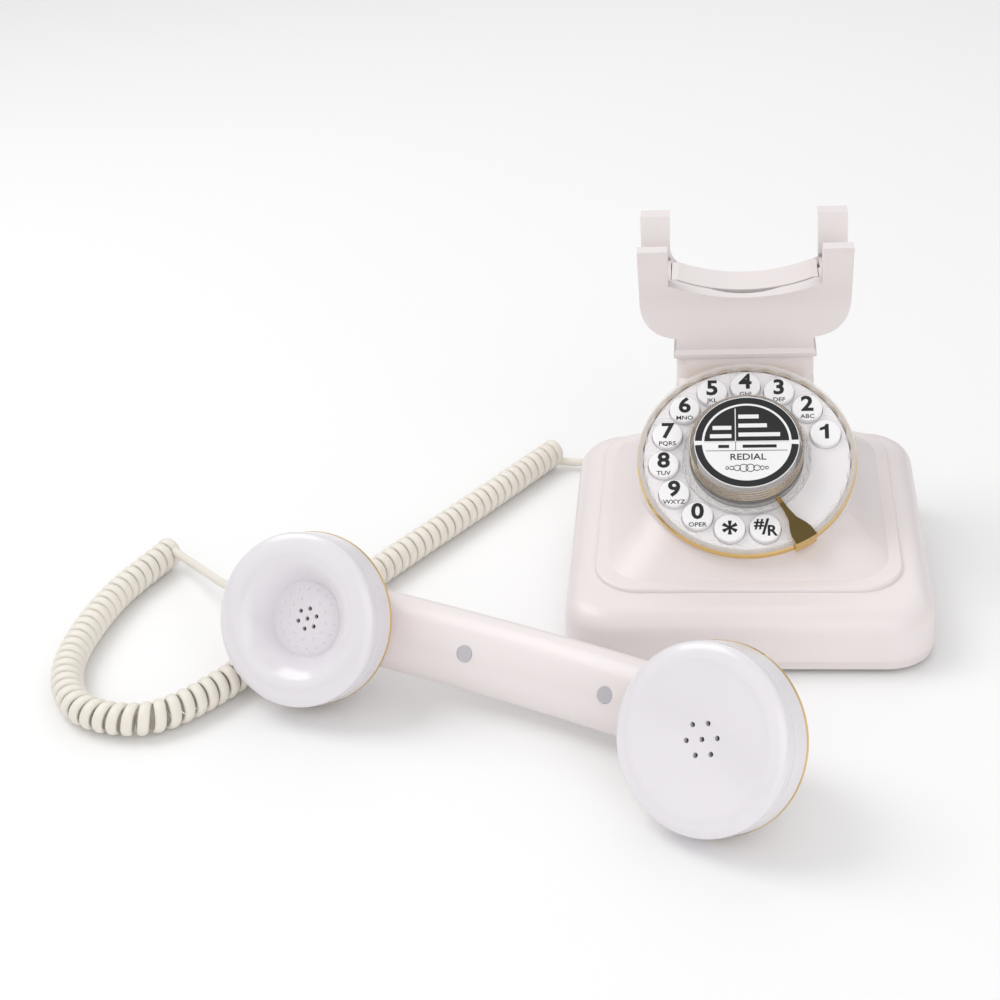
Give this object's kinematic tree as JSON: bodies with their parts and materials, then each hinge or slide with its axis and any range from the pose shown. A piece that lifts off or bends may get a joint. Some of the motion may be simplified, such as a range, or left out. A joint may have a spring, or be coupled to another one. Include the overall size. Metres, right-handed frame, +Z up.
{
  "type": "cradle telephone",
  "caption": "French-style cradle telephone with rotary-look push-button dial, four-horn cradle and a separate handset on a coiled cord.",
  "frame": {"origin": "centre of the base's footprint, on the table", "axes": "+X to the caller's right, +Y to the back of the phone, +Z up"},
  "size_m": [0.3291, 0.2881, 0.131],
  "materials": {
    "base_shell": "satin moulded plastic",
    "base_plate": "fine-textured plastic",
    "rubber_feet": "soft rubber",
    "plate_screws": "zinc-plated steel",
    "ballast_weight": "mill finish steel",
    "main_board": "glass-fibre board with green resist",
    "board_screws": "zinc-plated steel",
    "ringer_speaker": "black moulding",
    "line_jack": "black moulding",
    "handset_jack": "black moulding",
    "ringer_switch_body": "black moulding",
    "tone_switch_body": "black moulding",
    "dial_cup": "fine-textured plastic",
    "keypad_board": "glass-fibre board with green resist",
    "keypad_mat": "soft rubber",
    "dial_plate": "glossy white plastic",
    "finger_wheel": "clear polished acrylic",
    "hub_collar": "clear polished acrylic",
    "dial_bezel": "polished, gold coloured",
    "finger_stop": "polished, gold coloured",
    "cradle_housing": "satin moulded plastic",
    "hook_bracket": "moulded plastic",
    "hook_switch": "black moulding",
    "hook_spring": "spring steel",
    "base_plug": "moulded plastic",
    "coiled_cord": "soft vinyl cord",
    "hook_saddle": "fine-textured plastic",
    "redial_button": "clear polished acrylic",
    "label_card": "printed card",
    "hub_plunger": "fine-textured plastic",
    "ringer_switch": "ribbed black plastic",
    "tone_switch": "ribbed black plastic",
    "handset_back": "satin moulded plastic",
    "handset_cover": "satin moulded plastic",
    "mouthpiece_cap": "glossy moulded plastic",
    "earpiece_cap": "glossy moulded plastic",
    "mouthpiece_ring": "polished, gold coloured",
    "earpiece_ring": "polished, gold coloured",
    "screw_plugs": "grey plastic",
    "handset_screws": "zinc-plated steel",
    "handset_weight": "mill finish steel",
    "microphone": "black moulding",
    "earpiece_speaker": "black moulding",
    "handset_cord_jack": "black moulding",
    "handset_plug": "moulded plastic",
    "button_1": "glossy white plastic",
    "button_2": "glossy white plastic",
    "button_3": "glossy white plastic",
    "button_4": "glossy white plastic",
    "button_5": "glossy white plastic",
    "button_6": "glossy white plastic",
    "button_7": "glossy white plastic",
    "button_8": "glossy white plastic",
    "button_9": "glossy white plastic",
    "button_0": "glossy white plastic",
    "button_star": "glossy white plastic",
    "button_hash": "glossy white plastic"
  },
  "bodies": {
    "base": {"base_shell": "base_shell", "base_plate": "base_plate", "rubber_feet": "rubber_feet", "plate_screws": "plate_screws", "ballast_weight": "ballast_weight", "main_board": "main_board", "board_screws": "board_screws", "ringer_speaker": "ringer_speaker", "line_jack": "line_jack", "handset_jack": "handset_jack", "ringer_switch_body": "ringer_switch_body", "tone_switch_body": "tone_switch_body", "dial_cup": "dial_cup", "keypad_board": "keypad_board", "keypad_mat": "keypad_mat", "dial_plate": "dial_plate", "finger_wheel": "finger_wheel", "hub_collar": "hub_collar", "dial_bezel": "dial_bezel", "finger_stop": "finger_stop", "cradle_housing": "cradle_housing", "hook_bracket": "hook_bracket", "hook_switch": "hook_switch", "hook_spring": "hook_spring", "base_plug": "base_plug", "coiled_cord": "coiled_cord"},
    "hook": {"hook_saddle": "hook_saddle"},
    "redial": {"redial_button": "redial_button", "label_card": "label_card", "hub_plunger": "hub_plunger"},
    "ringer_slider": {"ringer_switch": "ringer_switch"},
    "tone_slider": {"tone_switch": "tone_switch"},
    "handset": {"handset_back": "handset_back", "handset_cover": "handset_cover", "mouthpiece_cap": "mouthpiece_cap", "earpiece_cap": "earpiece_cap", "mouthpiece_ring": "mouthpiece_ring", "earpiece_ring": "earpiece_ring", "screw_plugs": "screw_plugs", "handset_screws": "handset_screws", "handset_weight": "handset_weight", "microphone": "microphone", "earpiece_speaker": "earpiece_speaker", "handset_cord_jack": "handset_cord_jack", "handset_plug": "handset_plug"},
    "key_1": {"button_1": "button_1"},
    "key_2": {"button_2": "button_2"},
    "key_3": {"button_3": "button_3"},
    "key_4": {"button_4": "button_4"},
    "key_5": {"button_5": "button_5"},
    "key_6": {"button_6": "button_6"},
    "key_7": {"button_7": "button_7"},
    "key_8": {"button_8": "button_8"},
    "key_9": {"button_9": "button_9"},
    "key_0": {"button_0": "button_0"},
    "key_star": {"button_star": "button_star"},
    "key_hash": {"button_hash": "button_hash"}
  },
  "joints": [
    {"name": "hook_press", "type": "slide", "parent": "base", "child": "hook", "axis": [0, 0, -1], "range_m": [0, 0.0045], "deforming": ["hook_spring"]},
    {"name": "redial_press", "type": "slide", "parent": "base", "child": "redial", "axis": [0, 0.5563, -0.831], "range_m": [0, 0.0012]},
    {"name": "ringer_slide", "type": "slide", "parent": "base", "child": "ringer_slider", "axis": [1, 0, 0], "range_m": [-0.0028, 0.0028]},
    {"name": "tone_slide", "type": "slide", "parent": "base", "child": "tone_slider", "axis": [1, 0, 0], "range_m": [-0.0028, 0.0028]},
    {"name": "handset_lift", "type": "slide", "parent": "base", "child": "handset", "axis": [0, 0, 1], "range_m": [0, 0.15]},
    {"name": "press_1", "type": "slide", "parent": "base", "child": "key_1", "axis": [0, 0.5563, -0.831], "range_m": [0, 0.0012]},
    {"name": "press_2", "type": "slide", "parent": "base", "child": "key_2", "axis": [0, 0.5563, -0.831], "range_m": [0, 0.0012]},
    {"name": "press_3", "type": "slide", "parent": "base", "child": "key_3", "axis": [0, 0.5563, -0.831], "range_m": [0, 0.0012]},
    {"name": "press_4", "type": "slide", "parent": "base", "child": "key_4", "axis": [0, 0.5563, -0.831], "range_m": [0, 0.0012]},
    {"name": "press_5", "type": "slide", "parent": "base", "child": "key_5", "axis": [0, 0.5563, -0.831], "range_m": [0, 0.0012]},
    {"name": "press_6", "type": "slide", "parent": "base", "child": "key_6", "axis": [0, 0.5563, -0.831], "range_m": [0, 0.0012]},
    {"name": "press_7", "type": "slide", "parent": "base", "child": "key_7", "axis": [0, 0.5563, -0.831], "range_m": [0, 0.0012]},
    {"name": "press_8", "type": "slide", "parent": "base", "child": "key_8", "axis": [0, 0.5563, -0.831], "range_m": [0, 0.0012]},
    {"name": "press_9", "type": "slide", "parent": "base", "child": "key_9", "axis": [0, 0.5563, -0.831], "range_m": [0, 0.0012]},
    {"name": "press_0", "type": "slide", "parent": "base", "child": "key_0", "axis": [0, 0.5563, -0.831], "range_m": [0, 0.0012]},
    {"name": "press_star", "type": "slide", "parent": "base", "child": "key_star", "axis": [0, 0.5563, -0.831], "range_m": [0, 0.0012]},
    {"name": "press_hash", "type": "slide", "parent": "base", "child": "key_hash", "axis": [0, 0.5563, -0.831], "range_m": [0, 0.0012]}
  ]
}
